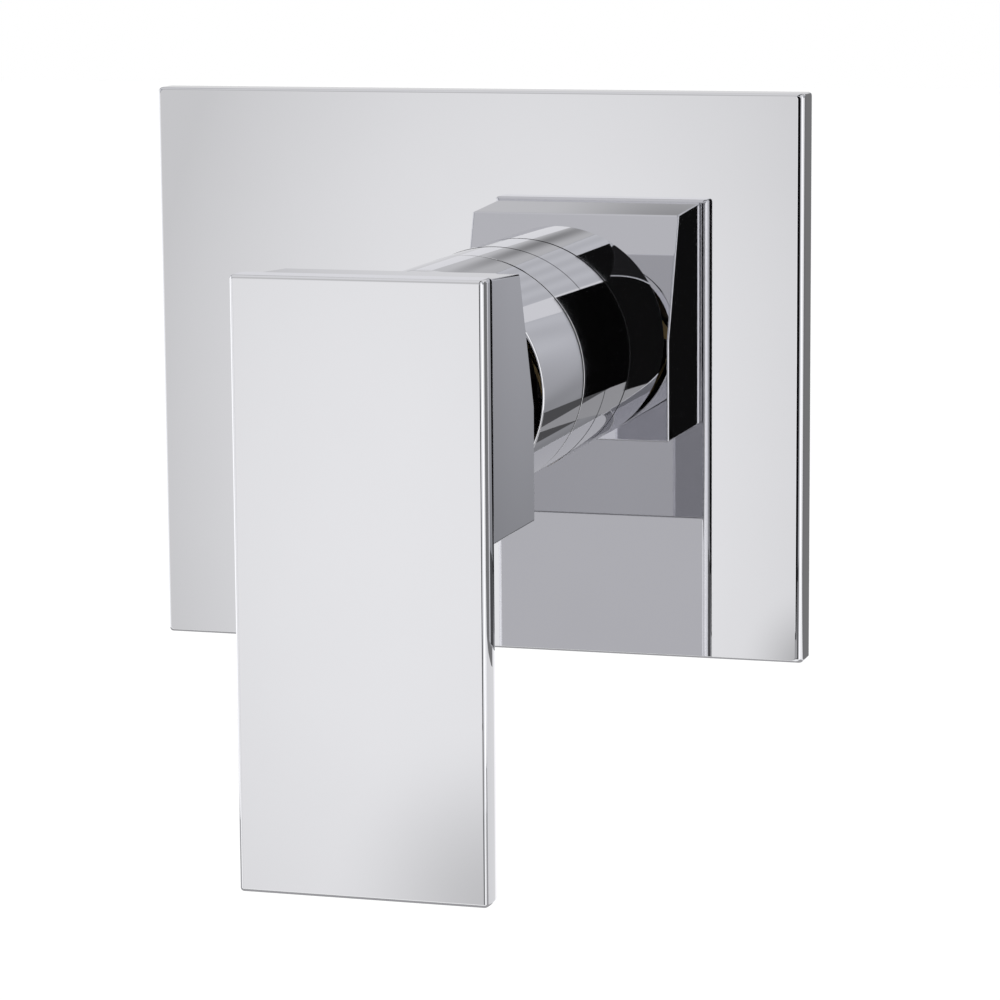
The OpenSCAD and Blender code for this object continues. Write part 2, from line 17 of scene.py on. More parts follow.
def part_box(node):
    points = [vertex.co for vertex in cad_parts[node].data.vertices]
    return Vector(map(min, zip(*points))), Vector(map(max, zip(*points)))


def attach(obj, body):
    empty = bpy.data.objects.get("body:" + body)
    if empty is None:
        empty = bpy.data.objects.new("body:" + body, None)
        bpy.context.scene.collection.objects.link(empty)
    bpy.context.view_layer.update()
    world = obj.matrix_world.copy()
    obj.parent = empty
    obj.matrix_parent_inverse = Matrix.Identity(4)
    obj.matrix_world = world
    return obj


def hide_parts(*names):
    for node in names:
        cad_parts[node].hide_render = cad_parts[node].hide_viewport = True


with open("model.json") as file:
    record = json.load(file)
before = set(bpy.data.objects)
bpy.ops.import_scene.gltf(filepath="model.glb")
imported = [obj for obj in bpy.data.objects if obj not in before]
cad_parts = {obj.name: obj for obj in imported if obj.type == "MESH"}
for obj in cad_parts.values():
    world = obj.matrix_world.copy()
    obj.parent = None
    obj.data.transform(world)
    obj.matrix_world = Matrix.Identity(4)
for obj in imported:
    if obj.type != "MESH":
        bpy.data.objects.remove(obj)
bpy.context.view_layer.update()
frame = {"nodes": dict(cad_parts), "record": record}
nodes = frame["nodes"]
MM = 0.001

# %% [markdown]
# ## The camera
# The photograph was taken from the right of the lever and a little above it, with a long
# lens, so the plate's edges converge only slightly. The place, the aim and the small roll
# below came from fitting the plate's, sleeve's and lever's edges.

# %% Camera
def look_from(place, aim, roll_deg, lens):
    camera = bpy.data.objects.new("studio_camera", bpy.data.cameras.new("studio_camera"))
    bpy.context.scene.collection.objects.link(camera)
    forward = (Vector(aim) - Vector(place)).normalized()
    right = forward.cross(Vector((0, 0, 1))).normalized()
    up = right.cross(forward)
    roll = Matrix.Rotation(math.radians(-roll_deg), 3, forward)
    right, up = roll @ right, roll @ up
    turned = Matrix((right, up, -forward)).transposed().to_4x4()
    camera.matrix_world = Matrix.Translation(Vector(place)) @ turned
    camera.data.lens = lens
    camera.data.sensor_width = 36
    camera.data.clip_start = 0.01
    camera.data.clip_end = 50
    bpy.context.scene.camera = camera
    return camera


CAMERA_PLACE = (0.2169, -0.7348, 0.0971)
CAMERA_AIM = (0.0138, -0.05, -0.0197)
CAMERA_ROLL_DEG = -0.418
CAMERA_LENS = 141.04
camera = look_from(CAMERA_PLACE, CAMERA_AIM, CAMERA_ROLL_DEG, CAMERA_LENS)
print("camera at", [round(v, 3) for v in camera.matrix_world.translation])

# %% [markdown]
# ## Helpers for modelling by hand
# Every operator acts on what is selected, so each step begins with nothing selected and
# picks its faces or edges by where they are. `faces_where` and `edges_where` do in code
# what a click does in the window.

# %% Selecting
def pick_object(obj):
    if bpy.context.object and bpy.context.object.mode == "EDIT":
        bpy.ops.object.mode_set(mode="OBJECT")
    bpy.ops.object.select_all(action="DESELECT")
    obj.select_set(True)
    bpy.context.view_layer.objects.active = obj


def into_edit(obj, kind="FACE"):
    pick_object(obj)
    bpy.ops.object.mode_set(mode="EDIT")
    bpy.ops.mesh.select_mode(type=kind)
    bpy.ops.mesh.select_all(action="DESELECT")
    return bmesh.from_edit_mesh(obj.data)


def faces_where(obj, test):
    mesh = into_edit(obj, "FACE")
    chosen = [f for f in mesh.faces if test(f.calc_center_median(), f.normal)]
    for f in chosen:
        f.select_set(True)
    bmesh.update_edit_mesh(obj.data)
    return len(chosen)


def edges_where(obj, test):
    mesh = into_edit(obj, "EDGE")
    chosen = [e for e in mesh.edges if test(e.verts[0].co, e.verts[1].co)]
    for e in chosen:
        e.select_set(True)
    bmesh.update_edit_mesh(obj.data)
    return len(chosen)


def out_of_edit():
    bpy.ops.object.mode_set(mode="OBJECT")


def apply_modifier(obj, kind, **settings):
    pick_object(obj)
    modifier = obj.modifiers.new(kind.lower(), kind)
    for name, value in settings.items():
        setattr(modifier, name, value)
    bpy.ops.object.modifier_apply(modifier=modifier.name)


def settle(obj):
    pick_object(obj)
    bpy.ops.object.transform_apply(location=True, rotation=True, scale=True)


# %% Blocks and turned pieces
def block_between(name, low, high):
    """A cube stretched between two corners, with its place in its mesh."""
    size = [high[i] - low[i] for i in range(3)]
    middle = [(high[i] + low[i]) / 2 for i in range(3)]
    bpy.ops.object.select_all(action="DESELECT")
    bpy.ops.mesh.primitive_cube_add(size=1, location=middle)
    obj = bpy.context.object
    obj.name = obj.data.name = name
    obj.scale = size
    settle(obj)
    return obj


def turned_on_axis(name, outline, segments=192):
    """A ring about the Y axis: one circle, drawn out and resized to each [radius, y]."""
    bpy.ops.object.select_all(action="DESELECT")
    radius, y = outline[0]
    bpy.ops.mesh.primitive_circle_add(
        vertices=segments, radius=radius, location=(0, y, 0), rotation=(math.pi / 2, 0, 0)
    )
    obj = bpy.context.object
    obj.name = obj.data.name = name
    settle(obj)
    into_edit(obj, "EDGE")
    bpy.ops.mesh.select_all(action="SELECT")
    for next_radius, next_y in outline[1:] + outline[:1]:
        bpy.ops.mesh.extrude_region_move(TRANSFORM_OT_translate={"value": (0, next_y - y, 0)})
        k = next_radius / radius
        bpy.ops.transform.resize(value=(k, 1, k), center_override=(0, next_y, 0))
        radius, y = next_radius, next_y
    bpy.ops.mesh.select_all(action="SELECT")
    bpy.ops.mesh.remove_doubles(threshold=1e-6)
    bpy.ops.mesh.normals_make_consistent(inside=False)
    out_of_edit()
    return obj


def polished(obj, angle_deg=40):
    """Smooth across the rounded edges, with the flat faces kept truly flat."""
    pick_object(obj)
    bpy.ops.object.shade_smooth_by_angle(angle=math.radians(angle_deg))
    apply_modifier(obj, "WEIGHTED_NORMAL", weight=100, keep_sharp=True)


# %% [markdown]
# ## Materials
# Almost all that shows is chrome. Real plating is never a perfect mirror: it has a very
# faint waviness from the polished brass under it, and hairline marks from wiping. Both are
# made with noise on the object's own coordinates, so that they stay where they are when
# the view turns. The lever's rear has the same plating, but painted darker: painted shade,
# so that what it mirrors comes out darker.

# %% Material helpers
def new_finish(name):
    material = bpy.data.materials.new(name)
    material.use_nodes = True
    tree = material.node_tree
    return material, tree, tree.nodes["Principled BSDF"]


def place_noise(tree, scale, detail=3.0, stretch=(1, 1, 1)):
    """Noise on Object coordinates, in features per metre."""
    where = tree.nodes.new("ShaderNodeTexCoord")
    mapping = tree.nodes.new("ShaderNodeMapping")
    mapping.inputs["Scale"].default_value = stretch
    noise = tree.nodes.new("ShaderNodeTexNoise")
    noise.inputs["Scale"].default_value = scale
    noise.inputs["Detail"].default_value = detail
    tree.links.new(where.outputs["Object"], mapping.inputs["Vector"])
    tree.links.new(mapping.outputs["Vector"], noise.inputs["Vector"])
    return noise.outputs["Fac"]


def spread(tree, value, low, high):
    """Turns a 0 to 1 value into one between low and high."""
    node = tree.nodes.new("ShaderNodeMapRange")
    node.inputs["To Min"].default_value = low
    node.inputs["To Max"].default_value = high
    tree.links.new(value, node.inputs["Value"])
    return node.outputs["Result"]


def two_tones(tree, value, dark, light, start=0.3, end=0.7):
    ramp = tree.nodes.new("ShaderNodeValToRGB")
    ramp.color_ramp.elements[0].position = start
    ramp.color_ramp.elements[0].color = (*dark, 1)
    ramp.color_ramp.elements[1].position = end
    ramp.color_ramp.elements[1].color = (*light, 1)
    tree.links.new(value, ramp.inputs["Fac"])
    return ramp.outputs["Color"]


def bumped(tree, shader, value, strength, distance):
    bump = tree.nodes.new("ShaderNodeBump")
    bump.inputs["Strength"].default_value = strength
    bump.inputs["Distance"].default_value = distance
    tree.links.new(value, bump.inputs["Height"])
    tree.links.new(bump.outputs["Normal"], shader.inputs["Normal"])


# %% Chrome
def chrome_finish(name, tone=(0.775, 0.775, 0.8)):
    material, tree, shader = new_finish(name)
    shader.inputs["Metallic"].default_value = 1.0
    haze = place_noise(tree, 40, 4)
    lighter = [min(1, c * 1.006) for c in tone]
    darker = [c * 0.994 for c in tone]
    tree.links.new(two_tones(tree, haze, darker, lighter), shader.inputs["Base Color"])
    wiped = place_noise(tree, 60, 5, (1, 1, 6))
    tree.links.new(spread(tree, wiped, 0.004, 0.02), shader.inputs["Roughness"])
    bumped(tree, shader, place_noise(tree, 18, 1), 0.012, 0.0002)
    return material


chrome = chrome_finish("polished_chrome")
# Painted shade: a darker copy of the chrome for the lever's rear, which darkens what it mirrors.
shade_darkened_chrome = chrome_finish("chrome_with_painted_shade", (0.5, 0.5, 0.515))

# %% [markdown]
# ## Metals behind the plate
# The body is cast brass: its skin is grainy and its colour uneven. Machined brass shows
# the fine rings that a lathe leaves, and the steel pieces are only ground.

# %% Brass and steel
def cast_metal(name, dark, light):
    material, tree, shader = new_finish(name)
    shader.inputs["Metallic"].default_value = 1.0
    tone = place_noise(tree, 120, 4)
    tree.links.new(two_tones(tree, tone, dark, light), shader.inputs["Base Color"])
    rough = place_noise(tree, 400, 4)
    tree.links.new(spread(tree, rough, 0.38, 0.6), shader.inputs["Roughness"])
    bumped(tree, shader, place_noise(tree, 1600, 4), 0.35, 0.0003)
    return material


def turned_metal(name, dark, light, rough):
    material, tree, shader = new_finish(name)
    shader.inputs["Metallic"].default_value = 1.0
    where = tree.nodes.new("ShaderNodeTexCoord")
    rings = tree.nodes.new("ShaderNodeTexWave")
    rings.wave_type = "BANDS"
    rings.bands_direction = "Y"
    rings.inputs["Scale"].default_value = 900
    rings.inputs["Distortion"].default_value = 1.5
    tree.links.new(where.outputs["Object"], rings.inputs["Vector"])
    ring_height = rings.outputs["Fac"]
    tree.links.new(two_tones(tree, ring_height, dark, light), shader.inputs["Base Color"])
    worn = spread(tree, place_noise(tree, 300), rough, rough + 0.12)
    tree.links.new(worn, shader.inputs["Roughness"])
    bumped(tree, shader, ring_height, 0.08, 0.0001)
    return material


cast_brass = cast_metal("cast_brass", (0.5, 0.36, 0.15), (0.72, 0.55, 0.27))
machined_brass = turned_metal("machined_brass", (0.68, 0.5, 0.2), (0.82, 0.64, 0.32), 0.22)
plated_brass = turned_metal("nickel_plated_brass", (0.6, 0.57, 0.5), (0.72, 0.69, 0.62), 0.2)
# Painted shade: brass painted almost black, for the inside of the sleeve's mouth and for the
# nodes whose slot is dark_brass.
dark_brass = turned_metal("brass_with_painted_shade", (0.01, 0.009, 0.008), (0.022, 0.02, 0.018), 0.4)
dull_plating = turned_metal("dull_plating", (0.47, 0.47, 0.49), (0.53, 0.53, 0.55), 0.05)
steel = turned_metal("ground_steel", (0.42, 0.43, 0.45), (0.6, 0.61, 0.63), 0.3)

# %% [markdown]
# ## Plastics, ceramic, rubber
# Moulded plastic has a faint grain, lapped ceramic is smooth and slightly glossy, and
# rubber is dark with a dull, uneven sheen.

# %% Non-metals
def moulded(name, dark, light, rough_low, rough_high, grain, grain_scale=1500):
    material, tree, shader = new_finish(name)
    tree.links.new(
        two_tones(tree, place_noise(tree, 180, 4), dark, light), shader.inputs["Base Color"]
    )
    rough = place_noise(tree, 500, 3)
    tree.links.new(spread(tree, rough, rough_low, rough_high), shader.inputs["Roughness"])
    bumped(tree, shader, place_noise(tree, grain_scale, 3), grain, 0.0002)
    return material


white_plastic = moulded("white_plastic", (0.78, 0.77, 0.73), (0.88, 0.87, 0.84), 0.35, 0.5, 0.1)
grey_plastic = moulded("grey_plastic", (0.24, 0.26, 0.29), (0.33, 0.35, 0.38), 0.4, 0.55, 0.12)
red_plastic = moulded("red_plastic", (0.5, 0.04, 0.035), (0.66, 0.07, 0.06), 0.35, 0.5, 0.1)
ceramic = moulded("lapped_ceramic", (0.86, 0.85, 0.8), (0.94, 0.93, 0.89), 0.1, 0.2, 0.02)
seal_rubber = moulded("seal_rubber", (0.015, 0.015, 0.015), (0.035, 0.035, 0.035), 0.5, 0.7, 0.2)
foam = moulded("closed_cell_foam", (0.05, 0.05, 0.05), (0.13, 0.13, 0.13), 0.8, 0.95, 0.8, 2500)
fibre = moulded("vulcanised_fibre", (0.3, 0.08, 0.05), (0.46, 0.15, 0.09), 0.6, 0.8, 0.4, 2200)

FINISHES = {
    "chrome": chrome, "cast_brass": cast_brass, "machined_brass": machined_brass,
    "dark_brass": dark_brass, "plated_brass": plated_brass, "steel": steel,
    "white_plastic": white_plastic, "grey_plastic": grey_plastic, "red_plastic": red_plastic,
    "ceramic": ceramic, "seal_rubber": seal_rubber, "foam": foam, "fibre": fibre,
}


def dress(obj, material):
    obj.data.materials.clear()
    obj.data.materials.append(material)


def finish_and_painted_shade_where(obj, test, paint=dull_plating):
    """Gives the faces that pass the test another, darker finish; on the lever's rear and in the
    sleeve it is painted shade.
    """
    obj.data.materials.append(paint)
    chosen = [face for face in obj.data.polygons if test(face.center)]
    for face in chosen:
        face.material_index = 1
    return len(chosen)


# %% Dress every node of the frame
slot_of = {s["node"]: s["material_slot"] for s in frame["record"]["subparts"]}
for node_name, node_object in nodes.items():
    dress(node_object, FINISHES[slot_of[node_name]])
print("dressed", len(nodes), "nodes")

# %% [markdown]
# ## The cover plate
# The plate is pressed and folded from thin brass, then polished, so its edges are softly
# rounded and its back is open. It starts as a block with bevelled corners. The front face
# is then drawn out in small steps, each a little smaller than the last, and these steps
# follow the round of a polished edge: steep at the rim and almost flat at the end. The photo
# shows a wide round at the right edge and a narrow one at the others. A block cuts the
# hollow in the back, and a cylinder cuts the sleeve's hole. A cut needs closed meshes.
# Inside, the plating is duller, because nobody polishes it.

# %% Cover plate
PLATE_WALL = 1.6 * MM
PLATE_CORNER = 0.7 * MM
NARROW_SHARE = 0.4
ROUND_DEPTH = 1.6
ROUND_EDGE = [  # inset and remaining depth, in mm
    [0.06, 1.1], [0.16, 0.75], [0.3, 0.48], [0.48, 0.27], [0.65, 0.15], [0.8, 0.095],
    [1.0, 0.055], [1.2, 0.022], [1.35, 0.006], [1.5, 0],
]


def near(value, target, slack=1e-5):
    return abs(value - target) < slack


def plate_body(low, high):
    """The plate's outer form. The right edge takes the whole inset, the others a share."""
    inset, drop = 0, ROUND_DEPTH
    plate = block_between("cover_plate", (low.x, low.y + drop * MM, low.z), high)
    edges_where(plate, lambda a, b: near(a.x, b.x) and near(a.z, b.z))
    bpy.ops.mesh.bevel(offset=PLATE_CORNER, segments=6)
    faces_where(plate, lambda c, n: n.y < -0.9999)
    middle = (low + high) / 2
    size = high - low
    for next_inset, next_drop in ROUND_EDGE:
        step = (next_inset - inset) * MM
        bpy.ops.mesh.extrude_region_move(
            TRANSFORM_OT_translate={"value": (0, (next_drop - drop) * MM, 0)}
        )
        smaller_x = 1 - (1 + NARROW_SHARE) * step / size.x
        smaller_z = 1 - 2 * NARROW_SHARE * step / size.z
        bpy.ops.transform.resize(value=(smaller_x, 1, smaller_z), center_override=middle)
        shift = -(1 - NARROW_SHARE) / 2 * step
        bpy.ops.transform.translate(value=(shift, 0, 0))
        middle.x += shift
        size.x *= smaller_x
        size.z *= smaller_z
        inset, drop = next_inset, next_drop
    out_of_edit()
    return plate


CUT_PAST = 10 * MM


def cut_away(obj, cutter):
    apply_modifier(obj, "BOOLEAN", operation="DIFFERENCE", object=cutter, solver="EXACT")
    bpy.data.objects.remove(cutter)


def hollow_back(obj, low, high):
    inner_low = low + Vector((PLATE_WALL, PLATE_WALL, PLATE_WALL))
    inner_high = high + Vector((-PLATE_WALL, CUT_PAST, -PLATE_WALL))
    cut_away(obj, block_between("hollow", inner_low, inner_high))


def cut_round(obj, radius, y_low, y_high, segments=192):
    bpy.ops.object.select_all(action="DESELECT")
    bpy.ops.mesh.primitive_cylinder_add(
        vertices=segments, radius=radius, depth=y_high - y_low,
        location=(0, (y_low + y_high) / 2, 0), rotation=(math.pi / 2, 0, 0),
    )
    cutter = bpy.context.object
    settle(cutter)
    cut_away(obj, cutter)


def inside_rim(c, margin=1.3 * MM):
    across = plate_low.x + margin < c.x < plate_high.x - margin
    return across and plate_low.z + margin < c.z < plate_high.z - margin


plate_low, plate_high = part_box("wall_plate")
sleeve_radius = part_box("rear_sleeve")[1].x
cover_plate = plate_body(plate_low, plate_high)
hollow_back(cover_plate, plate_low, plate_high)
cut_round(
    cover_plate, sleeve_radius + 0.05 * MM, plate_low.y - CUT_PAST, plate_high.y + CUT_PAST
)
polished(cover_plate)
dress(cover_plate, chrome)
plate_inner_face = plate_low.y + 1.55 * MM
finish_and_painted_shade_where(cover_plate, lambda c: c.y > plate_inner_face and inside_rim(c))
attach(cover_plate, "body")
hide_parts("wall_plate")
print("cover plate:", [round(v * 1000, 1) for v in cover_plate.dimensions])

# %% [markdown]
# ## The collar behind the plate
# A ring on the plate's back holds the rubber seal that hugs the sleeve. It is turned, so a
# circle drawn along the axis and resized at each step gives its stepped outline.

# %% Collar
def collar_outline():
    inner = sleeve_radius + 0.15 * MM
    outer = sleeve_radius + 4 * MM
    groove = sleeve_radius + 1.78 * MM
    back, front = -0.6 * MM, plate_inner_face
    lip, shelf = -1.56 * MM, -3.44 * MM
    return [
        [outer, back], [outer, front], [inner, front], [inner, shelf],
        [groove, shelf], [groove, lip], [inner, lip], [inner, back],
    ]


plate_collar = turned_on_axis("plate_collar", collar_outline())
polished(plate_collar)
dress(plate_collar, chrome)
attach(plate_collar, "body")

# %% [markdown]
# ## The sleeve
# The sleeve is two turned tubes. A thin dark line shows where the front one screws down
# on the rear one: there is a shallow groove there, and the rear tube's end face in it is
# painted with dark rubber as painted shade. The front tube's mouth is open and has a bright
# thin edge. Inside, its wall is painted almost black as painted shade.

# %% Sleeves
def tube_outline(radius, bore, back, front, bevel):
    """Steps round a tube's wall, with a small round on its outer edges."""
    steps = []
    for k in range(5):
        a = math.pi / 2 * k / 4
        steps.append([radius - bevel * (1 - math.sin(a)), back - bevel * (1 - math.cos(a))])
    for k in range(5):
        a = math.pi / 2 * (1 - k / 4)
        steps.append([radius - bevel * (1 - math.sin(a)), front + bevel * (1 - math.cos(a))])
    return steps + [[bore, front], [bore, back]]


TUBE_SEGMENTS = 256
MOUTH_BEVEL, SEAM_BEVEL = 0.4 * MM, 0.1 * MM
GROOVE_DEPTH, GROOVE_WIDTH = 0.45 * MM, 0.8 * MM
THREAD_END = -39.5 * MM
rear_low, rear_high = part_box("rear_sleeve")
front_low, front_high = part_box("front_sleeve")
rear_bore = sleeve_radius - 1.5 * MM
front_bore = sleeve_radius - 1.3 * MM
thread_bore = sleeve_radius - 1.84 * MM
rear_outline = tube_outline(sleeve_radius, rear_bore, rear_high.y, rear_low.y, SEAM_BEVEL)
rear_tube = turned_on_axis("rear_sleeve_tube", rear_outline, TUBE_SEGMENTS)

groove_bottom = sleeve_radius - GROOVE_DEPTH
groove_front = front_high.y - GROOVE_WIDTH
mouth = tube_outline(sleeve_radius, front_bore, front_high.y, front_low.y, MOUTH_BEVEL)[5:-1]
front_outline = [
    [groove_bottom, front_high.y], [groove_bottom, groove_front], [sleeve_radius, groove_front],
    *mouth,
    [front_bore, THREAD_END], [thread_bore, THREAD_END], [thread_bore, front_high.y],
]
front_tube = turned_on_axis("front_sleeve_tube", front_outline, TUBE_SEGMENTS)
for tube, node_name in ((rear_tube, "rear_sleeve"), (front_tube, "front_sleeve")):
    polished(tube)
    dress(tube, chrome)
    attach(tube, "body")
    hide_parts(node_name)
    print(tube.name, len(tube.data.polygons), "faces")


def painted_shade_inside_front(c, margin=0.3 * MM):
    return math.hypot(c.x, c.z) < sleeve_radius - margin and c.y > front_low.y + margin


# Painted shade: the rear tube's end face in the seam groove is painted dark rubber.
finish_and_painted_shade_where(rear_tube, lambda c: c.y < rear_low.y + 0.01 * MM, seal_rubber)
# Painted shade: the front tube's inside is painted almost black.
finish_and_painted_shade_where(front_tube, painted_shade_inside_front, dark_brass)

# %% [markdown]
# ## The flat lever
# The lever is a long flat bar. Buffing has left its long sides a little convex, so each
# side is drawn out in three steps, every one narrower and lower than the last. The faces
# that lie in one plane are then merged, and every sharp edge gets a small round bevel that
# catches the light as a thin bright line.

# %% Lever
lever_low, lever_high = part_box("lever_plate")
LEVER_BEVEL = 0.7 * MM
side_steps = [[1.3, 0.2], [0.8, 0.06], [0.6, 0.015]]  # narrowing and rise, in mm
bulge = sum(rise for width, rise in side_steps) * MM
lever_bar = block_between(
    "lever_bar", (lever_low.x + bulge, lever_low.y, lever_low.z),
    (lever_high.x - bulge, lever_high.y, lever_high.z),
)
for side in (-1, 1):
    thick = lever_high.y - lever_low.y
    middle_y = (lever_low.y + lever_high.y) / 2
    faces_where(lever_bar, lambda c, n: n.x * side > 0.99)
    for width, rise in side_steps:
        outwards = (side * rise * MM, 0, 0)
        bpy.ops.mesh.extrude_region_move(TRANSFORM_OT_translate={"value": outwards})
        narrower = 1 - 2 * width * MM / thick
        bpy.ops.transform.resize(value=(1, narrower, 1), center_override=(0, middle_y, 0))
        thick -= 2 * width * MM
into_edit(lever_bar, "EDGE")
bpy.ops.mesh.select_all(action="SELECT")
bpy.ops.mesh.dissolve_limited(angle_limit=math.radians(0.5))
bpy.ops.mesh.select_all(action="DESELECT")
bpy.ops.mesh.edges_select_sharp(sharpness=math.radians(30))
bpy.ops.mesh.bevel(offset=LEVER_BEVEL, segments=5)
out_of_edit()
polished(lever_bar)
dress(lever_bar, chrome)
# Painted shade: the lever's rear faces get the darker chrome.
finish_and_painted_shade_where(lever_bar, lambda c: c.y > lever_high.y - 0.01 * MM, shade_darkened_chrome)
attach(lever_bar, "lever")
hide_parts("lever_plate")
print("lever:", len(lever_bar.data.polygons), "faces")

# %% [markdown]
# ## The block behind the lever
# The block is square from the front. Its upper rear is cut away at a slant, so that it
# clears the sleeve when the lever is lifted. Two planes cut the block with bisect, which
# also fills the cut, and then its edges get the same fine bevel. Round cuts make room for
# the stem's head from behind, and for the grub screw and its cap from below.

# %% Block
def slice_off(obj, point, normal):
    """Cuts away what lies on the side that the normal points to, and fills the cut."""
    into_edit(obj, "FACE")
    bpy.ops.mesh.select_all(action="SELECT")
    bpy.ops.mesh.bisect(
        plane_co=point, plane_no=normal, use_fill=True, clear_outer=True, threshold=1e-6
    )
    out_of_edit()


def cut_upright(obj, low, high, slack=0.02 * MM, segments=64):
    bpy.ops.object.select_all(action="DESELECT")
    bpy.ops.mesh.primitive_cylinder_add(
        vertices=segments, radius=(high.x - low.x) / 2 + slack, depth=high.z - low.z,
        location=(low + high) / 2,
    )
    cutter = bpy.context.object
    settle(cutter)
    cut_away(obj, cutter)


block_low, block_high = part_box("lever_block")
HUB_OUT = 3.5 * MM
RELIEF_START_Z, RELIEF_DEPTH = -1.1 * MM, 8.7 * MM
TOP_REAR_Z, TOP_FALL = 23.6 * MM, 1.4 * MM
BLOCK_BEVEL = 0.4 * MM
STEM_BORE, FRONT_WALL = 4.2 * MM, 3 * MM
block_rear = block_high.y - HUB_OUT
lever_block_body = block_between(
    "lever_block_body", block_low, (block_high.x, block_rear, block_high.z)
)
relief_rise = TOP_REAR_Z - RELIEF_START_Z
slice_off(lever_block_body, (0, block_rear, RELIEF_START_Z), (0, relief_rise, RELIEF_DEPTH))
top_run = block_rear - block_low.y
slice_off(lever_block_body, (0, block_low.y, block_high.z), (0, TOP_FALL, top_run))
into_edit(lever_block_body, "EDGE")
bpy.ops.mesh.select_all(action="SELECT")
bpy.ops.mesh.bevel(offset=BLOCK_BEVEL, segments=3)
out_of_edit()
cut_round(lever_block_body, STEM_BORE, block_low.y + FRONT_WALL, block_rear + CUT_PAST)
for node_name, below in (("set_screw", 0), ("set_screw_cap", 1 * MM)):
    hole_low, hole_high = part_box(node_name)
    cut_upright(lever_block_body, hole_low - Vector((0, 0, below)), hole_high)
polished(lever_block_body)
dress(lever_block_body, chrome)
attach(lever_block_body, "lever")
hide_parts("lever_block")

# %% [markdown]
# The block ends in a short round hub that takes the stem. It is turned like the sleeve,
# with a small bevel at its rear edge.

# %% Hub
HUB_RADIUS, HUB_BORE, HUB_BEVEL = 9 * MM, 4.02 * MM, 0.5 * MM
hub_front = block_rear - 1 * MM
hub = turned_on_axis("lever_hub", [
    [HUB_RADIUS - HUB_BEVEL, block_high.y], [HUB_RADIUS, block_high.y - HUB_BEVEL],
    [HUB_RADIUS, hub_front], [HUB_BORE, hub_front], [HUB_BORE, block_high.y],
], 96)
polished(hub)
dress(hub, chrome)
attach(hub, "lever")

# %% [markdown]
# ## The studio
# Chrome shows only what is around it, so the studio is built from cards that only
# reflections see. The plate and the lever mirror a soft white panel at the front left, which
# is brightest in its middle and has soft darker spots. Round dark cards behind the camera
# give the black shapes on the sleeve, a dark card above them blackens the sleeve's mirror
# image, and what lies past them is grey. Bright cards at the sides make the thin white lines
# on the edges. The floor is pale and lies well below, because the mixer hangs on a wall.

# %% World and floor
def emission_material(name, colour, strength=1.0):
    material, tree, shader = new_finish(name)
    tree.nodes.remove(shader)
    glow = tree.nodes.new("ShaderNodeEmission")
    glow.inputs["Color"].default_value = (*colour, 1)
    glow.inputs["Strength"].default_value = strength
    tree.links.new(glow.outputs["Emission"], tree.nodes["Material Output"].inputs["Surface"])
    return material, tree, glow


world = bpy.data.worlds.new("white_studio")
bpy.context.scene.world = world
world.use_nodes = True
sky_tree = world.node_tree
sky = sky_tree.nodes["Background"]
sky.inputs["Color"].default_value = (1, 1, 1, 1)
grey_sky = sky_tree.nodes.new("ShaderNodeBackground")
grey_sky.inputs["Color"].default_value = (0.42, 0.43, 0.45, 1)
ray_kind = sky_tree.nodes.new("ShaderNodeLightPath")
mirrored_or_not = sky_tree.nodes.new("ShaderNodeMixShader")
sky_tree.links.new(ray_kind.outputs["Is Glossy Ray"], mirrored_or_not.inputs[0])
sky_tree.links.new(sky.outputs["Background"], mirrored_or_not.inputs[1])
sky_tree.links.new(grey_sky.outputs["Background"], mirrored_or_not.inputs[2])
sky_tree.links.new(
    mirrored_or_not.outputs["Shader"], sky_tree.nodes["World Output"].inputs["Surface"]
)

bpy.ops.object.select_all(action="DESELECT")
bpy.ops.mesh.primitive_plane_add(size=12, location=(0, 0, -0.3))
floor = bpy.context.object
floor.name = "studio_floor"
settle(floor)
floor_paint, floor_tree, floor_shader = new_finish("pale_floor")
floor_shader.inputs["Base Color"].default_value = (0.9, 0.9, 0.9, 1)
floor_shader.inputs["Roughness"].default_value = 0.9
floor_shader.inputs["Emission Color"].default_value = (1, 1, 1, 1)
floor_shader.inputs["Emission Strength"].default_value = 0.16
dress(floor, floor_paint)

# %% Cards
def hang(obj, name, paint):
    """Dresses a card and hides it from all but reflections."""
    settle(obj)
    obj.name = name
    dress(obj, paint)
    obj.visible_camera = False
    obj.visible_shadow = False
    obj.visible_diffuse = False
    return obj


def card(name, low, high, paint):
    """A flat card between two corners; it is thin along the axis they share."""
    size = [high[i] - low[i] for i in range(3)]
    axis = min(range(3), key=lambda i: abs(size[i]))
    turns = {0: (0, math.pi / 2, 0), 1: (math.pi / 2, 0, 0), 2: (0, 0, 0)}
    scales = {0: (size[2], size[1], 1), 1: (size[0], size[2], 1), 2: (size[0], size[1], 1)}
    bpy.ops.object.select_all(action="DESELECT")
    bpy.ops.mesh.primitive_plane_add(
        size=1, location=[(low[i] + high[i]) / 2 for i in range(3)], rotation=turns[axis]
    )
    obj = bpy.context.object
    obj.scale = scales[axis]
    return hang(obj, name, paint)


def round_card(name, radius, y, keep_right_of, keep_above, paint):
    """A disc facing the mixer, cut off on its left and at its foot."""
    bpy.ops.object.select_all(action="DESELECT")
    bpy.ops.mesh.primitive_circle_add(
        vertices=128, radius=radius, fill_type="NGON", location=(0, y, 0),
        rotation=(math.pi / 2, 0, 0),
    )
    obj = bpy.context.object
    settle(obj)
    slice_off(obj, (keep_right_of, 0, 0), (-1, 0, 0))
    slice_off(obj, (0, 0, keep_above), (0, 0, -1))
    return hang(obj, name, paint)


def plain_light(name, level):
    return emission_material(name, (level, level, level * 1.01))[0]


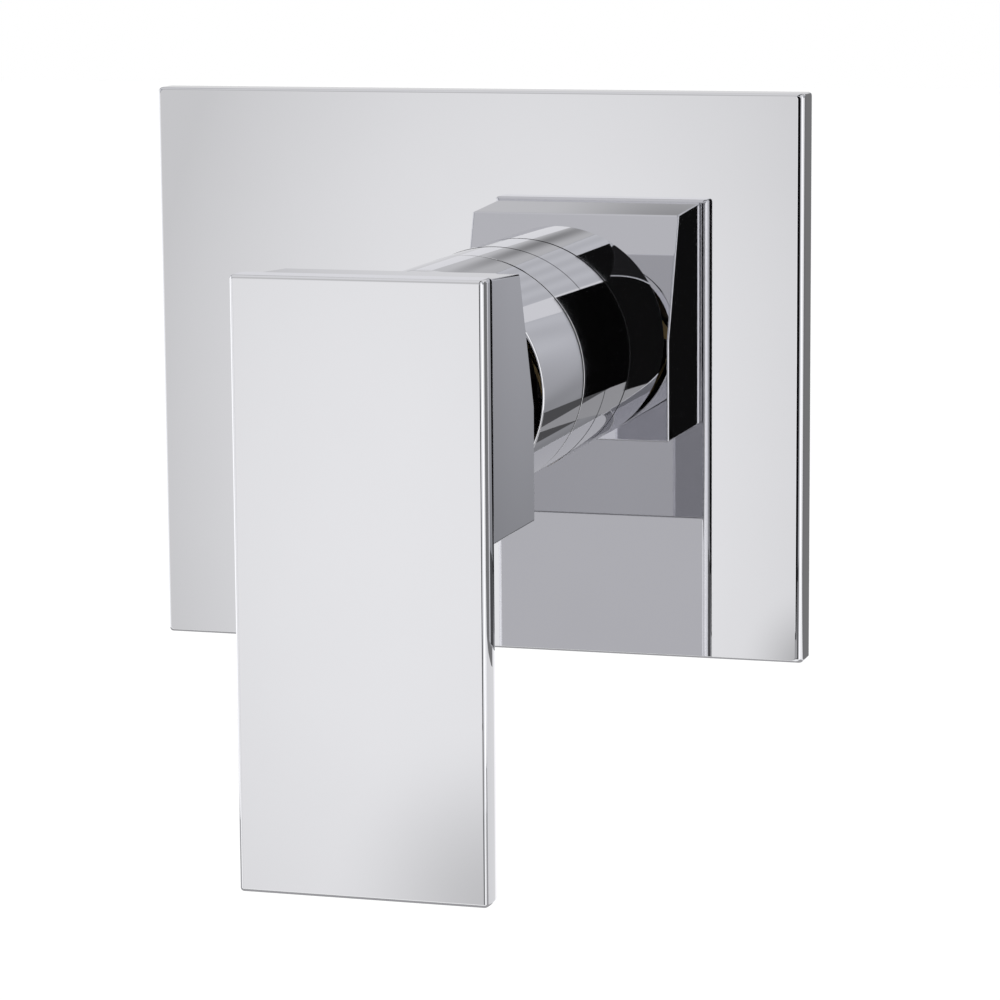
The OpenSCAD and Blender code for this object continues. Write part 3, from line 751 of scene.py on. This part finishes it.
def soft_panel(name, centre, reach, bright, dim, flatten=0.6, shades=()):
    """Brightest at its centre, falling off as the square of the distance. Each shade is a
    soft dark spot: its place, its reach and how much of the light it keeps."""
    material, tree, glow = emission_material(name, (1, 1, 1))
    where = tree.nodes.new("ShaderNodeTexCoord")
    shorter = tree.nodes.new("ShaderNodeMapping")
    shorter.inputs["Scale"].default_value = (1, 1, flatten)
    tree.links.new(where.outputs["Object"], shorter.inputs["Vector"])
    from_centre = tree.nodes.new("ShaderNodeVectorMath")
    from_centre.operation = "DISTANCE"
    from_centre.inputs[1].default_value = (centre[0], centre[1], centre[2] * flatten)
    tree.links.new(shorter.outputs["Vector"], from_centre.inputs[0])
    squared = tree.nodes.new("ShaderNodeMath")
    squared.operation = "POWER"
    squared.inputs[1].default_value = 2
    tree.links.new(from_centre.outputs["Value"], squared.inputs[0])
    level = tree.nodes.new("ShaderNodeMapRange")
    level.inputs["From Max"].default_value = reach ** 2
    level.inputs["To Min"].default_value = bright
    level.inputs["To Max"].default_value = dim
    tree.links.new(squared.outputs["Value"], level.inputs["Value"])
    strength = level.outputs["Result"]
    for place, shade_reach, kept in shades:
        distance = tree.nodes.new("ShaderNodeVectorMath")
        distance.operation = "DISTANCE"
        distance.inputs[1].default_value = place
        tree.links.new(where.outputs["Object"], distance.inputs[0])
        shade = tree.nodes.new("ShaderNodeMapRange")
        shade.interpolation_type = "SMOOTHSTEP"
        shade.inputs["From Max"].default_value = shade_reach
        shade.inputs["To Min"].default_value = kept
        tree.links.new(distance.outputs["Value"], shade.inputs["Value"])
        darker = tree.nodes.new("ShaderNodeMath")
        darker.operation = "MULTIPLY"
        tree.links.new(strength, darker.inputs[0])
        tree.links.new(shade.outputs["Result"], darker.inputs[1])
        strength = darker.outputs["Value"]
    tree.links.new(strength, glow.inputs["Strength"])
    return material


def graded_grey(name, low_z, high_z, dark, light, stripe):
    """Grey that gets lighter with height, with a few faint upright stripes."""
    material, tree, glow = emission_material(name, (0.98, 0.99, 1.02))
    where = tree.nodes.new("ShaderNodeTexCoord")
    parts = tree.nodes.new("ShaderNodeSeparateXYZ")
    tree.links.new(where.outputs["Object"], parts.inputs["Vector"])
    level = tree.nodes.new("ShaderNodeMapRange")
    level.inputs["From Min"].default_value = low_z
    level.inputs["From Max"].default_value = high_z
    level.inputs["To Min"].default_value = dark
    level.inputs["To Max"].default_value = light
    tree.links.new(parts.outputs["Z"], level.inputs["Value"])
    bands = tree.nodes.new("ShaderNodeTexWave")
    bands.bands_direction = "X"
    bands.inputs["Scale"].default_value = 5.5
    bands.inputs["Distortion"].default_value = 0.0
    tree.links.new(where.outputs["Object"], bands.inputs["Vector"])
    striped = tree.nodes.new("ShaderNodeMath")
    striped.operation = "MULTIPLY"
    tree.links.new(level.outputs["Result"], striped.inputs[0])
    faint = spread(tree, bands.outputs["Fac"], 1 - stripe, 1 + stripe)
    tree.links.new(faint, striped.inputs[1])
    tree.links.new(striped.outputs["Value"], glow.inputs["Strength"])
    return material


def flat_card(name, low_x, low_z, high_x, high_z, y, level):
    card(name, (low_x, y, low_z), (high_x, y, high_z), plain_light(name, level))


round_card("dark_round", 0.2296, -0.742, -0.015, -0.2, plain_light("dark_round", 0.006))
round_card("black_round", 0.2511, -0.7425, 0.1305, -0.178, plain_light("black_round", 0.002))
low_shades = [((-0.168, -0.75, -0.275), 0.07, 0.7), ((-0.085, -0.75, -0.22), 0.04, 0.45)]
card("soft_panel", (-0.46, -0.75, -0.31), (-0.065, -0.75, 0.06),
     soft_panel("soft_panel", (-0.205, -0.75, -0.15), 0.165, 1.0, 0.72, shades=low_shades))
flat_card("upper_low", -0.46, 0.06, -0.085, 0.138, -0.751, 0.96)
card("upper_left", (-0.46, -0.751, 0.138), (-0.085, -0.751, 1.0),
     soft_panel("upper_left", (-0.25, -0.751, 0.16), 0.1, 0.72, 0.63,
                shades=[((-0.15, -0.751, 0.178), 0.06, 0.5)]))
flat_card("front_strip", -0.065, -0.2, -0.02, 0.12, -0.75, 1.3)
flat_card("upper_patch", 0.125, 0.175, 0.185, 0.24, -0.752, 0.9)
flat_card("lower_dark", 0.095, -0.32, 0.32, -0.176, -0.7525, 0.1)
flat_card("lower_light", -0.02, -0.234, 0.16, -0.176, -0.752, 0.4)
flat_card("dark_above", 0.0, 0.31, 0.25, 1.0, -0.752, 0.02)
card("dark_ceiling", (0.0, -0.752, 0.99), (0.32, 0.42, 0.99), plain_light("dark_ceiling", 0.02))
flat_card("right_front", 0.33, -0.6, 1.2, 0.6, -0.755, 0.9)
card("grey_surround", (-0.085, -0.76, -0.9), (1.2, -0.76, 0.9),
     graded_grey("grey_surround", -0.2, 0.08, 0.32, 0.68, 0.05))
card("left_panel", (-0.9, -0.74, -0.6), (-0.9, -0.25, 0.6), plain_light("left_panel", 0.92))
card("left_bright", (-0.9, -0.25, -0.6), (-0.9, 0.3, 0.6), plain_light("left_bright", 1.35))
card("right_panel", (0.9, -0.7, -0.6), (0.9, -0.25, 0.6), plain_light("right_panel", 1.4))
card("ceiling", (-1.0, -0.75, 1.0), (1.0, 0.6, 1.0), plain_light("ceiling", 0.8))
card("grey_below", (-1.0, -0.35, -0.29), (1.0, 0.4, -0.29), plain_light("grey_below", 0.4))
flat_card("back_panel", -0.26, -0.05, 0.12, 0.75, 0.42, 0.73)
flat_card("back_panel_low", -0.26, -0.6, 0.12, -0.05, 0.42, 1.06)
flat_card("back_right", 0.12, -0.6, 0.6, 0.5, 0.421, 0.8)
flat_card("back_black", 0.0, 0.45, 0.3, 0.95, 0.415, 0.02)
flat_card("back_dark", 0.066, -0.075, 0.25, 0.09, 0.06, 0.2)
bpy.context.scene.view_settings.view_transform = "Standard"
print("cards hung")
